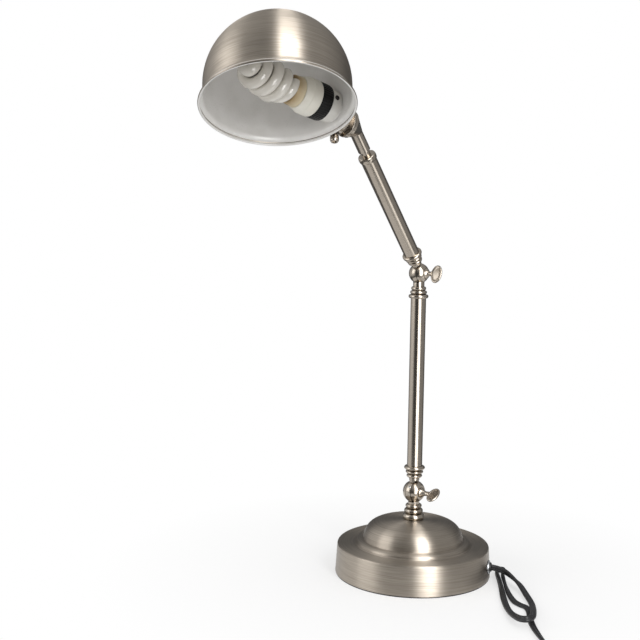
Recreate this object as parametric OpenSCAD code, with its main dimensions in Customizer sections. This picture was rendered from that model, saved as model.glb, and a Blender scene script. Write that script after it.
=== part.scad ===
// Dome shade desk lamp: weighted round base, two tilting arms on knuckle joints,
// a swivelling stem and a side-entry dome shade that turns on its socket cup.
// Millimetres, +Z up, origin on the floor under the middle of the base.

/* [Base] */
// Diameter of the base at the floor
base_d = 165; // [150:1:190]
// Height of the base's upright side
base_side_h = 32; // [26:1:38]
// Inward lean of the side, from foot to rim, on the radius
base_draft = 1.8; // [0.5:0.1:3]
// Height of the dome's crown above the side
crown_rise = 26; // [20:1:32]
// Radius of the dome at its foot
crown_foot_r = 53.5; // [48:0.5:58]
// Radius of the raised step ring round the dome
step_ring_r = 62; // [60:0.5:68]
// Wall of the spun steel cover
cover_wall = 1.2; // [0.8:0.1:2]
// Thickness of the felt pad under the base
pad_t = 1.2; // [0.8:0.1:3]
// Height of the cast iron weight
weight_h = 16; // [14:1:24]

/* [Knuckles] */
// Height of the lower knuckle's pivot over the floor
base_pivot_z = 88; // [84:0.5:100]
// Distance between the two knuckle pivots
arm_length = 232.5; // [160:0.5:320]
// Radius of the lower knuckle's ball
base_ball_r = 11.8; // [11:0.1:13]
// Radius of the elbow's ball
elbow_ball_r = 10.6; // [10:0.1:12]
// Half width across a knuckle's flat faces
cheek_face = 9; // [6.5:0.1:9.4]
// Thickness of the tongue between the cheeks
tongue_t = 6; // [5:0.1:7]
// Thickness of a fibre washer beside the tongue
washer_t = 0.45; // [0.3:0.05:0.7]
// Diameter of the thumb screws' shafts
screw_d = 5; // [4:0.1:6]
// Running clearance of a pin in its bore, on the radius
running_gap = 0.06; // [0.03:0.01:0.1]

/* [Thumb screws] */
// Length of the paddle across the screw
paddle_w = 19; // [14:0.5:24]
// Length of the paddle along the screw
paddle_l = 13; // [10:0.2:16]
// Thickness of the paddle's rim
paddle_t = 2.4; // [1.8:0.1:3.5]
// Distance from the lower knuckle's face to its paddle
base_paddle_reach = 8.8; // [6:0.2:13]
// Distance from the elbow's face to its paddle
elbow_paddle_reach = 6; // [5.6:0.2:12]
// Turn of the lower paddle
base_paddle_turn = 57; // [0:1:90]
// Turn of the elbow's paddle
elbow_paddle_turn = 19; // [0:1:90]

/* [Arms] */
// Outer diameter of the arm tubes
tube_d = 16; // [14:0.5:18]
// Wall of the arm tubes
tube_wall = 1; // [0.8:0.1:1.6]
// Lean of the upper arm from upright, toward the front
arm_lean = 40; // [0:0.5:60]
// Set-back of the upper arm's line behind the elbow's pivot
arm_back = 2.4; // [0:0.2:4]
// Distance from the elbow's pivot to the end of the upper tube
upper_tube_end = 149; // [110:1:200]

/* [Head] */
// Distance from the elbow's pivot to the bend of the saddle
stem_length = 200; // [180:1:240]
// Turn of the head about the upper arm
head_swing = -22.9; // [-60:0.5:60]
// Bend between the stem and the socket's axis
head_bend = 36.6; // [30:0.5:50]
// Turn of the shade on the saddle
head_clock = 37.2; // [0:0.5:60]
// Diameter of the stem's sleeve
sleeve_d = 12.2; // [11:0.1:13]
// Diameter of the stem's slim neck
neck_d = 8.8; // [8:0.1:9.6]
// Diameter of the joint's discs, between saddle and cup
joint_d = 27; // [25:0.5:32]
// Drop of the joint's middle below the socket's axis
joint_drop = 10.6; // [8:0.2:12]
// Diameter of the socket cup
cup_d = 27; // [26:0.5:29]

/* [Shade] */
// Outer radius of the dome
shade_r = 67; // [64:0.5:72]
// Wall of the shade
shade_wall = 0.9; // [0.7:0.1:1.4]
// Radius of the rim over its rolled lip
rim_r = 71; // [69:0.5:76]
// Depth from the dome's middle to the rim
rim_depth = 19.6; // [18:0.2:24]
// Distance from the saddle's bend to the dome's middle, along the socket
shade_reach = 83.2; // [80:0.2:95]
// Drop of the dome's middle below the socket's axis
shade_drop = 2.8; // [1:0.2:5]

/* [Lampholder and bulb] */
// Diameter of the black lampholder
holder_d = 34; // [32:0.2:36]
// Length of the black lampholder that shows
holder_l = 12; // [10:0.5:16]
// Diameter of the bulb's ballast at its widest
ballast_d = 34.8; // [33:0.2:40]
// Length of the ballast
ballast_l = 17.5; // [16:0.5:24]
// Diameter of the glass tube
glass_d = 10.2; // [8.5:0.1:10.5]
// Rise of one glass helix in one turn
glass_pitch = 22.2; // [21.6:0.1:26]
// Turns of each of the two glass helices
spiral_turns = 1.75; // [1.25:0.25:2]

/* [Cord] */
// Width of the flat cord
cord_w = 6.4; // [5.6:0.1:6.8]
// Thickness of the flat cord
cord_t = 3.6; // [3:0.1:3.8]
// Turns in each layer of the put-away coil
coil_turns = 2.44; // [1.44:0.5:2.44]
// Radius of the coil's outermost turn, at its middle
coil_r = 40.5; // [38:0.5:44]

/* [Hidden] */

$fn = 64;
fit = 0.03;            // seated pieces of one body, on the radius
body_gap = 0.3;        // pieces of different bodies
cut = 1;               // how far a cut runs past a face
nickel = [0.68, 0.65, 0.61];
brass = [0.78, 0.65, 0.38];
steel = [0.72, 0.72, 0.73];
black = [0.05, 0.05, 0.055];

// ---- derived places
base_r = base_d / 2;
rim_top_r = base_r - base_draft;
edge_r = 2;
crown_top = base_side_h + crown_rise;
elbow_z = base_pivot_z + arm_length;
cheek_in = tongue_t / 2 + washer_t + 0.05;
slot_gap = 0.5;
bore_r = screw_d / 2 + running_gap;
lead_bore_r = 3;
pivot_nut_r = 4.6;
nut_web = 0.4;
pivot_nut_t = cheek_face - cheek_in - nut_web;
tube_r = tube_d / 2;
tube_in = tube_r - tube_wall;
tube_seat = 3;

// a smooth curve between two points, drawn by two handles
function bow(a, b, c, d, n) = [for (i = [0:n]) let (t = i / n, s = 1 - t)
    s * s * s * a + 3 * s * s * t * b + 3 * s * t * t * c + t * t * t * d];
// a half-round bead from height a to height b, from radius r0 out to r1
function bead(a, b, r0, r1, n = 8) = [for (i = [0:n]) let (t = 180 * i / n)
    [r0 + (r1 - r0) * sin(t), (a + b) / 2 - (b - a) / 2 * cos(t)]];
// an arc about a middle, from one angle to another
function arc(m, r, a, b, n) = [for (i = [0:n]) let (t = a + (b - a) * i / n)
    m + r * [cos(t), sin(t)]];

module tube_of(r_out, r_in, h) {
    difference() {
        cylinder(r = r_out, h = h);
        translate([0, 0, -cut]) cylinder(r = r_in, h = h + 2 * cut);
    }
}

module across_x(x) {
    translate([x, 0, 0]) rotate([0, 90, 0]) children();
}

// ---- frames of the moving parts
module at_base_pivot() {
    translate([0, 0, base_pivot_z]) children();
}

module at_elbow() {
    translate([0, 0, elbow_z]) children();
}

module on_upper_arm(s = 0) {
    at_elbow() rotate([arm_lean, 0, 0]) translate([0, arm_back, s]) children();
}

module on_saddle() {
    on_upper_arm(stem_length) rotate([0, 0, head_swing]) rotate([head_bend, 0, 0]) children();
}

// head frame: +Z runs from the saddle into the shade, -Y out of the shade's mouth
module on_head(z = 0) {
    on_saddle() rotate([0, 0, head_clock]) translate([0, 0, z]) children();
}

// ---- base
function cover_outline(in) = concat(
    bow([11.5, crown_top - in], [crown_foot_r - 15.5, crown_top - in],
        [crown_foot_r - 3.5 - in, crown_top - 2.5 - in], [crown_foot_r - in, crown_foot_z], 14),
    bow([crown_foot_r + 0.5 - in, crown_foot_z - 0.4], [crown_foot_r + 3.5 - in, crown_foot_z - 0.5],
        [step_ring_r - 1.4 - in, base_side_h + 4], [step_ring_r - 1 - in / 2, base_side_h + 1.2 - in], 6),
    [[step_ring_r + 0.4, base_side_h - in]],
    arc([rim_top_r - edge_r, base_side_h - edge_r], edge_r - in, 90, 3, 5));
crown_foot_z = base_side_h + 5.4;

module base_cover() color(nickel) {
    difference() {
        rotate_extrude($fn = 128) polygon(concat(
            [[nipple_r + 0.2, crown_top - cover_wall], [nipple_r + 0.2, crown_top]],
            cover_outline(0),
            [[base_r, pad_t], [base_r - cover_wall, pad_t]],
            backward(cover_outline(cover_wall))));
        at_grommet() translate([0, 0, -12]) cylinder(r = grommet_bore_r, h = 24);
    }
}
nipple_r = 5;
nipple_bore_r = 3.4;
nipple_low = 4;
grommet_turn = 22;
grommet_z = 14;
grommet_r = 7.2;
grommet_bore_r = 6;
bushing_out = 3;

module at_grommet() {
    rotate([0, 0, grommet_turn]) translate([base_r - base_draft * grommet_z / base_side_h, 0, grommet_z])
        rotate([0, 90 + atan(base_draft / base_side_h) * -1, 0]) children();
}

weight_r = base_r - cover_wall - base_draft - 1.3;
weight_z = pad_t + 2.2;
weight_top_r = 40;
weight_boss_r = 11.2;
recess_r = 14;
recess_h = 12;

module base_weight() color([0.22, 0.22, 0.22]) {
    difference() {
        union() {
            translate([0, 0, weight_z]) cylinder(r = weight_r, h = weight_h);
            translate([0, 0, weight_z + weight_h - cut]) cylinder(r = weight_top_r, h = 8 + cut);
            translate([0, 0, weight_z + weight_h])
                cylinder(r = weight_boss_r, h = crown_top - cover_wall - fit - weight_z - weight_h);
        }
        cylinder(r = nipple_r + 0.2, h = crown_top);
        translate([0, 0, pad_t]) cylinder(r = recess_r, h = recess_h);
        // channel for the lead, from the grommet to the recess
        rotate([0, 0, grommet_turn]) translate([0, -7, pad_t]) cube([base_r, 14, 22]);
    }
}

module felt_pad() color([0.1, 0.1, 0.1]) {
    cylinder(r = base_r - 0.4, h = pad_t - 0.02);
}

pedestal_z = crown_top + fit;

module base_nipple() color(brass) {
    translate([0, 0, nipple_low]) tube_of(nipple_r, nipple_bore_r, pedestal_z + 9 - nipple_low);
}

module base_nut() color(steel) {
    z = pad_t + recess_h - fit;
    difference() {
        union() {
            translate([0, 0, z - 1.2]) cylinder(r = 12, h = 1.2);
            translate([0, 0, z - 6]) cylinder(r = 8.6, h = 4.8, $fn = 6);
        }
        cylinder(r = nipple_r + fit, h = 40);
    }
}

module cord_grommet() color(steel) {
    at_grommet() difference() {
        union() {
            translate([0, 0, fit]) cylinder(r1 = grommet_r, r2 = grommet_r - 0.7, h = 1.3);
            translate([0, 0, -3]) cylinder(r = grommet_bore_r - fit, h = 4);
        }
        translate([0, 0, -4]) cylinder(r = grommet_bore_r - 1, h = 8);
    }
}

module cord_bushing() color(black) {
    at_grommet() difference() {
        union() {
            translate([0, 0, -10]) cylinder(r = grommet_bore_r - 1 - fit, h = 12);
            translate([0, 0, 2 - fit])
                cylinder(r1 = grommet_bore_r - 1 - fit, r2 = 4.4, h = bushing_out - 2 + fit);
        }
        translate([0, 0, -11]) cylinder(r = lead_bore_r, h = 10);
    }
}

// ---- knuckles
// profile of the turned pedestal under the lower knuckle, downward from the pivot
function pedestal_profile() = down(concat(
    [[0, base_ball_r - 4], [6.1, base_ball_r - 4], [6.1, 13]],
    bead(13.1, 17.8, 6.4, 8.7),
    bead(18.3, 23, 7.8, 10),
    bead(23.6, base_pivot_z - pedestal_z, 9.4, 11.6),
    [[0, base_pivot_z - pedestal_z]]));
function down(pts) = [for (q = pts) [q[0], -q[1]]];

// neck, two beads and the ring that seats the tube, away from the pivot; size scales the beads
function collar_profile(r, start, size, root) = concat(
    [[0, root], [r, root], [r, start + 2.2 * size]],
    bead(start + 2.4 * size, start + 6.2 * size, r + 0.5, 7.8 * size),
    bead(start + 6.5 * size, start + 10.2 * size, r + 1.2, 8.8 * size),
    bead(start + 10.6 * size, collar_top(start, size), 8.6, 10.4 * size),
    [[0, collar_top(start, size)]]);
function collar_top(start, size) = start + 14.6 * size;

module ball(r) {
    intersection() {
        sphere(r = r);
        translate([-cheek_face, -2 * r, -2 * r]) cube([2 * cheek_face, 4 * r, 4 * r]);
    }
}

// the two cheeks, open upward, with the bores for the thumb screw; the collar hangs below
module fork(r) {
    difference() {
        union() {
            ball(r);
            children();
        }
        across_x(-cheek_in) cylinder(r = r + slot_gap, h = 2 * cheek_in);
        translate([-cheek_in, -2 * r, 0]) cube([2 * cheek_in, 4 * r, 2 * r]);
        across_x(-2 * cheek_face) cylinder(r = bore_r, h = 4 * cheek_face);
        across_x(-2 * cheek_face) cylinder(r = pivot_nut_r + fit, h = 2 * cheek_face - cheek_in - nut_web);
    }
}

// the tongue between a fork's cheeks; its collar may stand back from the pivot
module tongue(r, start, back = 0) {
    half = tongue_t / 2;
    difference() {
        union() {
            intersection() {
                sphere(r = r);
                translate([-half, -2 * r, -2 * r]) cube([tongue_t, 4 * r, 4 * r]);
            }
            intersection() {
                translate([0, back, 0]) cylinder(r = 5.4, h = start + 1);
                translate([-half, -r, 0]) cube([tongue_t, 2 * r, 2 * r]);
            }
            translate([0, back, 0]) children();
        }
        across_x(-cheek_face) cylinder(r = bore_r, h = 2 * cheek_face);
    }
}

module knuckle_washers() color([0.35, 0.2, 0.12]) {
    for (side = [-1, 1])
        across_x(side * (tongue_t / 2 + 0.025 + washer_t / 2) - washer_t / 2)
            tube_of(7, bore_r + 0.02, washer_t);
}

module pivot_nut() color(brass) {
    across_x(-cheek_in - nut_web - pivot_nut_t) tube_of(pivot_nut_r, bore_r - 0.01, pivot_nut_t);
}

module thumbscrew(turn, reach) color(nickel) {
    shoulder = cheek_face + 0.1;
    waist = 1.7;
    paddle_x = shoulder + reach + paddle_l / 2;
    rotate([-turn, 0, 0]) {
        across_x(-cheek_face - 1) cylinder(d = screw_d, h = shoulder + cheek_face + 2);
        across_x(shoulder) rotate_extrude() polygon(concat(
            [[0, 0], [5.3, 0], [5.3, 0.6]],
            bow([5, 1], [2.8, 1.8], [waist, 0.4 * reach], [waist, 0.6 * reach], 6),
            bow([waist, 0.7 * reach], [waist, 0.9 * reach], [2.2, reach], [2.4, reach + 1.4], 4),
            [[0, reach + 1.8]]));
        difference() {
            translate([paddle_x, 0, 0]) rotate([90, 0, 0]) scale([paddle_l / paddle_w, 1, 1])
                cylinder(d = paddle_w, h = paddle_t, center = true, $fn = 48);
            for (side = [-1, 1])
                translate([paddle_x, side * paddle_t / 2, 0]) rotate([90, 0, 0])
                    scale([(paddle_l - 2.2) / (paddle_w - 2.2), 1, 1])
                        cylinder(d = paddle_w - 2.2, h = 0.8, center = true, $fn = 48);
        }
    }
}

module base_knuckle() color(nickel) {
    at_base_pivot() difference() {
        fork(base_ball_r) rotate_extrude() polygon(pedestal_profile());
        translate([0, 0, -40]) cylinder(r = lead_bore_r, h = 40 - base_ball_r - 2);
        translate([0, 0, -(base_pivot_z - pedestal_z) - cut]) cylinder(r = nipple_r + fit, h = 10);
    }
}

// small locking screw on the left cheek, above the pivot nut
module base_set_screw() color(steel) {
    at_base_pivot() translate([-cheek_face - fit, 0, 6.1]) rotate([0, -90, 0]) difference() {
        cylinder(r = 1.4, h = 0.9);
        translate([-2, -0.25, 0.5]) cube([4, 0.5, 1]);
    }
}

module base_pivot_nut() at_base_pivot() pivot_nut();
module base_washers() at_base_pivot() knuckle_washers();
module base_thumbscrew() at_base_pivot() thumbscrew(base_paddle_turn, base_paddle_reach);

// ---- lower arm
foot_start = base_ball_r + 0.9;
elbow_start = elbow_ball_r + 0.9;
spigot_l = 12;
foot_size = 1.06;

module collar(r, start, size, root) {
    top = collar_top(start, size);
    difference() {
        union() {
            rotate_extrude() polygon(collar_profile(r, start, size, root));
            translate([0, 0, top - tube_seat - fit]) cylinder(r = tube_in - fit, h = spigot_l);
        }
        translate([0, 0, top - tube_seat]) tube_of(tube_r + fit, tube_in - fit, tube_seat + cut);
        translate([0, 0, start + 3]) cylinder(r = lead_bore_r, h = 60);
    }
}

module lower_arm_foot() color(nickel) {
    at_base_pivot() tongue(base_ball_r, foot_start) collar(5.4, foot_start, foot_size, foot_start);
}

module lower_tube() color(nickel) {
    low = collar_top(foot_start, foot_size) - tube_seat + fit;
    high = arm_length - collar_top(elbow_start, 1) + tube_seat - fit;
    at_base_pivot() translate([0, 0, low]) tube_of(tube_r, tube_in, high - low);
}

module elbow_knuckle() color(nickel) {
    at_elbow() fork(elbow_ball_r) rotate([180, 0, 0]) collar(5.9, elbow_start, 1, elbow_ball_r - 3);
}

module elbow_pivot_nut() at_elbow() pivot_nut();
module elbow_washers() at_elbow() knuckle_washers();
module elbow_thumbscrew() at_elbow() thumbscrew(elbow_paddle_turn, elbow_paddle_reach);

// ---- upper arm
module upper_arm_foot() color(nickel) {
    at_elbow() rotate([arm_lean, 0, 0]) tongue(elbow_ball_r, elbow_start, arm_back)
        collar(5.6, elbow_start, 1, elbow_start);
}

module upper_tube() color(nickel) {
    low = collar_top(elbow_start, 1) - tube_seat + fit;
    on_upper_arm(low) tube_of(tube_r, tube_in, upper_tube_end - low);
}

ring_h = 6.4;
ring_in = 3.4;
neck_r = neck_d / 2;
neck_foot_r = 3.6;
neck_bore_r = 2.7;
plug_l = 10;
step_z = 6;            // height of the bearing step over the plug's foot
clip_t = 1;
plug_foot = upper_tube_end - plug_l;

module tube_end_ring() color(nickel) {
    on_upper_arm(upper_tube_end - ring_in) difference() {
        union() {
            rotate_extrude() polygon(concat(
                [[0, 0], [tube_r + 0.2, 0]],
                bead(0.4, ring_h - 0.4, tube_r + 0.3, tube_r + 1, 8),
                [[tube_r - 0.6, ring_h], [0, ring_h]]));
            translate([0, 0, ring_in - plug_l]) cylinder(r = tube_in - fit, h = plug_l);
        }
        translate([0, 0, -cut]) tube_of(tube_r + fit, tube_in - fit, ring_in + fit + cut);
        translate([0, 0, ring_in - plug_l + step_z]) cylinder(r = neck_r + running_gap, h = 20);
        translate([0, 0, -20]) cylinder(r = neck_foot_r + running_gap, h = 40);
    }
}

// ---- stem: turns in the ring and carries the saddle
neck_foot = plug_foot - 2.3;
sleeve_low = upper_tube_end - ring_in + ring_h + 5.4;
sleeve_high = stem_length - 21;
neck_in_sleeve = 8;

module swivel_neck() color(nickel) {
    shoulder = plug_foot + step_z + 0.05;
    on_upper_arm() difference() {
        union() {
            translate([0, 0, neck_foot]) cylinder(r = neck_foot_r, h = shoulder - neck_foot + cut);
            translate([0, 0, shoulder]) cylinder(r = neck_r, h = sleeve_low + neck_in_sleeve - shoulder);
        }
        translate([0, 0, neck_foot - cut]) cylinder(r = neck_bore_r, h = 60);
        translate([0, 0, plug_foot - body_gap - clip_t - 0.05])
            tube_of(neck_r + 1, neck_foot_r - 0.4, clip_t + 0.1);
    }
}

module neck_clip() color(steel) {
    on_upper_arm(plug_foot - body_gap - clip_t) tube_of(neck_foot_r + 1.6, neck_foot_r - 0.35, clip_t);
}

joint_r = joint_d / 2;
saddle_face = 0;       // the joint's face, along the socket's axis
saddle_t = 2.4;
saddle_bore = 4.6;
nipple_reach = 9;

module at_joint(z = 0) {
    on_head(z) translate([0, -joint_drop, 0]) children();
}

module saddle_sleeve() color(nickel) {
    difference() {
        union() {
            on_upper_arm(sleeve_low) cylinder(d = sleeve_d, h = sleeve_high - sleeve_low);
            hull() {
                on_upper_arm(sleeve_high - 1) cylinder(d = sleeve_d + 0.4, h = 1, $fn = 32);
                at_joint(saddle_face - saddle_t) cylinder(r = joint_r - 0.8, h = saddle_t - 1, $fn = 32);
            }
            at_joint(saddle_face - saddle_t) cylinder(r = joint_r - 0.6, h = saddle_t);
        }
        on_upper_arm(sleeve_low - cut) cylinder(r = neck_r + fit, h = neck_in_sleeve + cut);
        on_upper_arm(sleeve_low) cylinder(r = lead_bore_r, h = stem_length - 12 - sleeve_low);
        at_joint(-nipple_reach) cylinder(r = saddle_bore + fit, h = 20);
    }
}

// hollow nipple on which the cup turns
module saddle_nipple() color(brass) {
    at_joint(1 - nipple_reach) tube_of(saddle_bore, 3, nipple_reach - 1 + flange_low + flange_t + 4);
}

// ---- socket cup: a flange on the joint, a cup beside it for the switch, a neck to the shade
flange_low = body_gap;
flange_t = 2.6;
cup_r = cup_d / 2;
cup_wall = 1.2;
cup_x = -3;
cup_y = -7;
cup_front = 12.4;
cup_neck_r = 12;
pad_r = 14;
shade_pad_t = 1.9;
pad_hole_r = 6;
pad_z = shade_reach - sqrt(pow(shade_r - shade_wall, 2) - pow(pad_r + shade_drop, 2)) - shade_pad_t;
shade_screw_x = 9.6;
screw_r = 1.45;

module shade_screw_places() {
    for (side = [-1, 1]) translate([side * shade_screw_x, 0, 0]) children();
}

module socket_cup() color(nickel) {
    floor_z = flange_low + flange_t;
    on_head() difference() {
        union() {
            translate([0, -joint_drop, flange_low]) rotate_extrude() polygon(concat(
                [[0, 0]],
                arc([joint_r - 0.7, 0.7], 0.7, -90, 0, 3),
                arc([joint_r - 0.7, flange_t - 0.7], 0.7, 0, 90, 3),
                [[0, flange_t]]));
            translate([cup_x, cup_y, floor_z - 0.5]) cylinder(r = cup_r, h = cup_front - floor_z + 0.5);
            translate([0, 0, floor_z]) cylinder(r = cup_neck_r, h = pad_z - fit - floor_z);
        }
        translate([cup_x, cup_y, floor_z])
            cylinder(r = cup_r - cup_wall, h = cup_front - cup_wall - floor_z);
        translate([0, -joint_drop, -cut]) cylinder(r = saddle_bore + running_gap, h = 6);
        translate([0, 0, floor_z + 4]) cylinder(r = pad_hole_r, h = 20);
        at_switch() cylinder(r = bushing_r + fit, h = 30);
        translate([0, 0, pad_z - 5]) shade_screw_places() cylinder(r = screw_r + fit, h = 6);
    }
}

module nipple_nut() color(steel) {
    at_joint(flange_low + flange_t + running_gap) difference() {
        cylinder(r = 7, h = 2.4, $fn = 6);
        translate([0, 0, -cut]) cylinder(r = saddle_bore + fit, h = 5);
    }
}

// ---- switch: its spindle leaves the cup beside the mouth and passes under the shade's rim
switch_x = -10.8;
switch_z = 7.6;
switch_from = 4;
switch_to = 13;
bushing_r = 2.2;
bushing_to = 18.6;
spindle_r = 1.6;
knob_r = 4.2;
knob_l = 8;
knob_from = 19.9;

module at_switch(from = 0) {
    translate([switch_x, -from, switch_z]) rotate([90, 0, 0]) children();
}

module switch_body() color(black) {
    on_head() difference() {
        union() {
            at_switch(switch_from) translate([-2.4, -2.5, 0]) cube([4.8, 5, switch_to - switch_from]);
            at_switch(switch_to - 0.5) cylinder(r = bushing_r, h = bushing_to - switch_to + 0.5);
        }
        at_switch(switch_to - 4) cylinder(r = spindle_r + running_gap, h = 20);
    }
}

module switch_shaft() color([0.85, 0.85, 0.85]) {
    on_head() at_switch(switch_to - 4 + running_gap)
        cylinder(r = spindle_r, h = knob_from + 3 - switch_to + 4 - running_gap);
}

module switch_knob() color(nickel) {
    on_head() at_switch(knob_from) difference() {
        rotate_extrude() polygon(concat(
            [[0, 0], [2.6, 0]],
            bow([2.6, 0], [3.6, 0.1], [knob_r, 1.4], [knob_r, 2.6], 4),
            bow([knob_r, 5.4], [knob_r, 6.8], [knob_r - 0.6, knob_l], [knob_r - 1.4, knob_l], 4),
            [[0, knob_l]]));
        translate([0, 0, -cut]) cylinder(r = spindle_r + fit, h = 3 + fit + cut);
        translate([0, 0, knob_l - 1.6]) cylinder(r = 2.2, h = 3);
    }
}

// ---- shade
lip_r = 1.1;
function shade_outline(in) = concat(
    arc([0, 0], shade_r - in, 90, 0, 24),
    [[shade_r - in, -rim_depth + 8.6]],
    bow([shade_r - in, -rim_depth + 7.1], [shade_r - in, -rim_depth + 4],
        [rim_r - 1.6 - in, -rim_depth + 2.2], [rim_r - 1.2, -rim_depth + 1.6 + in / 2], 6));
function backward(pts) = [for (i = [len(pts) - 1:-1:0]) pts[i]];

module shade() color([0.72, 0.7, 0.66]) {
    on_head() difference() {
        union() {
            difference() {
                translate([0, -shade_drop, shade_reach]) rotate([-90, 0, 0]) rotate_extrude($fn = 128)
                    polygon(concat(
                        shade_outline(0),
                        arc([rim_r - lip_r, -rim_depth], lip_r, 60, -180, 8),
                        backward(shade_outline(shade_wall))));
                translate([0, 0, pad_z - 6]) cylinder(r = pad_r, h = 14);
            }
            translate([0, 0, pad_z]) cylinder(r = pad_r + 0.3, h = shade_pad_t);
        }
        translate([0, 0, pad_z - 3]) cylinder(r = pad_hole_r, h = 8);
        translate([0, 0, pad_z - 3]) shade_screw_places() cylinder(r = screw_r + 0.2, h = 8);
    }
}

// ---- lampholder, on the shade's pad
sleeve_foot = pad_z + shade_pad_t + fit;
sleeve_floor = 1;
holder_r = holder_d / 2;
sleeve_l = 11.7;        // white sleeve, from the shade's pad to the black ring
holder_z = sleeve_foot + sleeve_l;
cap_r = 13;
shell_in = cap_r + 0.08;
shell_out = shell_in + 0.4;
body_r = 14.4;
body_foot = sleeve_foot + sleeve_floor + 1.5;
cap_foot = body_foot + 2.3;
ballast_foot = holder_z + holder_l + fit;

module shade_screws() color([0.2, 0.2, 0.2]) {
    on_head(sleeve_foot + sleeve_floor + fit) shade_screw_places() difference() {
        union() {
            rotate_extrude() polygon([[0, 0], [2.2, 0], [2, 0.9], [1.2, 1.2], [0, 1.2]]);
            translate([0, 0, -6]) cylinder(r = screw_r, h = 6.5);
        }
        translate([-3, -0.3, 0.8]) cube([6, 0.6, 1]);
    }
}

module holder_sleeve() color([0.9, 0.9, 0.88]) {
    on_head() difference() {
        union() {
            translate([0, 0, sleeve_foot]) cylinder(r1 = pad_r, r2 = body_r + 0.9, h = sleeve_floor);
            translate([0, 0, sleeve_foot + sleeve_floor])
                cylinder(r = body_r + 0.9, h = sleeve_l - fit - sleeve_floor);
        }
        translate([0, 0, sleeve_foot + sleeve_floor]) cylinder(r = body_r + fit, h = 20);
        translate([0, 0, sleeve_foot - cut]) cylinder(r = pad_hole_r, h = 10);
        translate([0, 0, sleeve_foot - cut]) shade_screw_places() cylinder(r = screw_r + 0.2, h = 8);
        at_holder_screw() cylinder(r = holder_screw_bore, h = 10);
    }
}

module lampholder() color(black) {
    on_head() difference() {
        union() {
            translate([0, 0, body_foot]) cylinder(r = body_r, h = holder_z - body_foot + cut);
            translate([0, 0, holder_z]) cylinder(r = holder_r, h = holder_l);
        }
        translate([0, 0, body_foot + 1.5]) cylinder(r = shell_out + fit, h = 40);
        translate([0, 0, body_foot - cut]) cylinder(r = 3, h = 10);
        at_holder_screw() cylinder(r = holder_screw_bore, h = 10);
    }
}

module screw_shell() color(brass) {
    on_head(body_foot + 1.5 + fit) difference() {
        cylinder(r = shell_out, h = holder_z + 6 - body_foot);
        translate([0, 0, 0.4]) cylinder(r = shell_in, h = 40);
        translate([0, 0, -cut]) cylinder(r = 8, h = 10);
    }
}

module centre_contact() color(brass) {
    on_head(body_foot + 1.5 + fit) cylinder(r = 5, h = 0.7);
}

holder_screw_turn = -1;
holder_screw_z = holder_z - 5;
holder_screw_bore = 1.83;
module at_holder_screw() {
    translate([0, 0, holder_screw_z]) rotate([0, 90, holder_screw_turn])
        translate([0, 0, body_r - 0.3]) children();
}

module holder_screw() color([0.2, 0.2, 0.2]) {
    on_head() at_holder_screw() difference() {
        translate([0, 0, 0.02]) cylinder(r = holder_screw_bore - fit, h = 1.9);
        translate([-3, -0.25, 1.2]) cube([6, 0.5, 1]);
    }
}

// ---- bulb
module bulb_cap() color([0.75, 0.75, 0.76]) {
    on_head(cap_foot) union() {
        cylinder(r = 4.5, h = 2);
        translate([0, 0, 1.8]) cylinder(r1 = 8, r2 = cap_r, h = 3);
        translate([0, 0, 4.8]) cylinder(r = cap_r, h = ballast_foot - fit - cap_foot - 4.8);
    }
}

module bulb_ballast() color([0.93, 0.93, 0.9]) {
    r = ballast_d / 2;
    on_head(ballast_foot) rotate_extrude() polygon(concat(
        [[0, 0]],
        arc([r - 1, 1], 1, -90, 0, 3),
        [[r, 10.4], [r - 0.5, 11], [r - 1.9, ballast_l - 0.8], [r - 2.6, ballast_l], [0, ballast_l]]));
}

collar_l = 9.3;
collar_top_z = ballast_foot + ballast_l + fit + collar_l;

module bulb_collar() color([0.8, 0.7, 0.52]) {
    r = ballast_d / 2 - 3;
    difference() {
        on_head(ballast_foot + ballast_l + fit) rotate_extrude() polygon(
            [[0, 0], [r, 0], [r - 0.8, collar_l - 0.8], [r - 1.6, collar_l], [0, collar_l]]);
        for (side = [0, 1])
            on_head() sweep([for (i = [0:7]) glass_point(i, side)], ngon(glass_d / 2 + 0.3, 8));
    }
}

// two glass helices, joined over the tip; they swell and draw in again on the way
glass_turn = 284;
glass_foot = collar_top_z + 5.4;
glass_step = 17;
glass_under = 5;       // steps from a leg's foot to the helix's first turn
glass_n = round(360 * spiral_turns / glass_step) + glass_under;
glass_end = glass_step * (glass_n - glass_under);
glass_swell = [[-10, 8], [0, 9.9], [2.8, 10.8], [8, 13], [13.4, 13.8], [19, 13.3], [24.6, 12.2],
    [30, 10.8], [36, 9.3], [44, 8]];
tip_rise = 4.4;
tip_turn = 60;
function glass_z(a) = glass_pitch * a / 360;
function glass_point(i, side) = let (a = glass_step * (i - glass_under),
    r = lookup(glass_z(a), glass_swell), t = glass_turn + 180 * side - a)
    [r * cos(t), r * sin(t), glass_foot + glass_z(a)];
function tip_point(t) = let (r = lookup(glass_z(glass_end), glass_swell) * cos(t),
    a = glass_turn - glass_end - tip_turn * sin(t))
    [r * cos(a), r * sin(a), glass_foot + glass_z(glass_end) + tip_rise * sin(t)];
glass_path = concat(
    [for (i = [0:glass_n]) glass_point(i, 0)],
    [for (t = [18:18:162]) tip_point(t)],
    [for (i = [glass_n:-1:0]) glass_point(i, 1)]);

module bulb_spiral() color([0.96, 0.96, 0.95]) {
    on_head() sweep(glass_path, ngon(glass_d / 2, 8));
}

// ---- tubes along a path, one closed skin
function unit(v) = v / norm(v);
function tangent(p, i) = unit(p[min(i + 1, len(p) - 1)] - p[max(i - 1, 0)]);
function ngon(r, n) = [for (i = [0:n - 1]) r * [cos(360 * i / n), sin(360 * i / n)]];
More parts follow.
